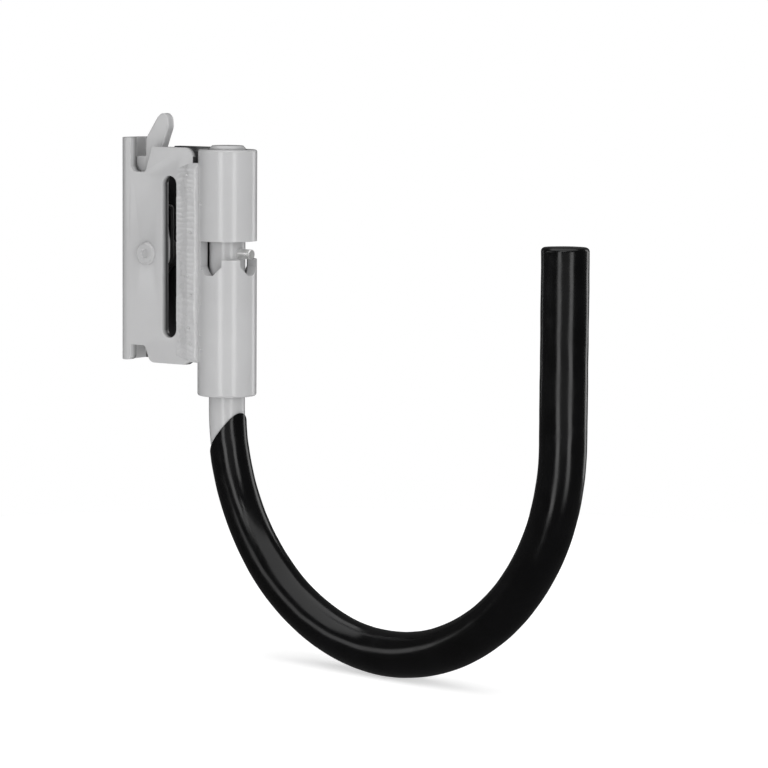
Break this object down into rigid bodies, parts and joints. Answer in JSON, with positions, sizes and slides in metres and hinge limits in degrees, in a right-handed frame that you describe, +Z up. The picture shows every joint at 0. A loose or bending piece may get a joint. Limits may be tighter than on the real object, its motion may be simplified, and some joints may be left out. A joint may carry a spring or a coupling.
{
  "type": "swivel j hook",
  "caption": "Vinyl-dipped J-hook that swivels in a welded tube on a sprung steel fitting, which latches into a slotted wall track.",
  "frame": {"origin": "on the wall track's front face, mid-width of the fitting, at the height of the latch lever's rivet", "axes": "+Z up along the swivel axis, +Y into the wall, -Y out from the wall, X across the fitting"},
  "size_m": [0.0347, 0.1776, 0.1635],
  "materials": {
    "grey_powder_coat": "semi-gloss light grey powder coat",
    "spring_steel": "dark oiled spring wire",
    "zinc_plated_steel": "bright zinc plate",
    "black_vinyl_dip": "glossy black plastisol dip"
  },
  "bodies": {
    "fitting": {"fitting_body": "grey_powder_coat", "swivel_tube": "grey_powder_coat", "weld_bead_left": "grey_powder_coat", "weld_bead_right": "grey_powder_coat", "lever_rivet": "grey_powder_coat", "latch_spring": "spring_steel"},
    "latch": {"latch_lever": "grey_powder_coat"},
    "hook": {"hook_rod": "grey_powder_coat", "hook_coating": "black_vinyl_dip", "index_pin": "zinc_plated_steel"}
  },
  "joints": [
    {"name": "hook_swivel", "type": "hinge", "parent": "fitting", "child": "hook", "pos_m": [0, -0.025, 0], "axis": [0, 0, 1], "range_deg": [-82, 98]},
    {"name": "latch_release", "type": "hinge", "parent": "fitting", "child": "latch", "pos_m": [0, 0.0009, 0], "axis": [1, 0, 0], "range_deg": [0, 16], "stiffness_Nm_per_rad": 0.08, "springref_deg": -28.65, "deforming": ["latch_spring"]}
  ]
}
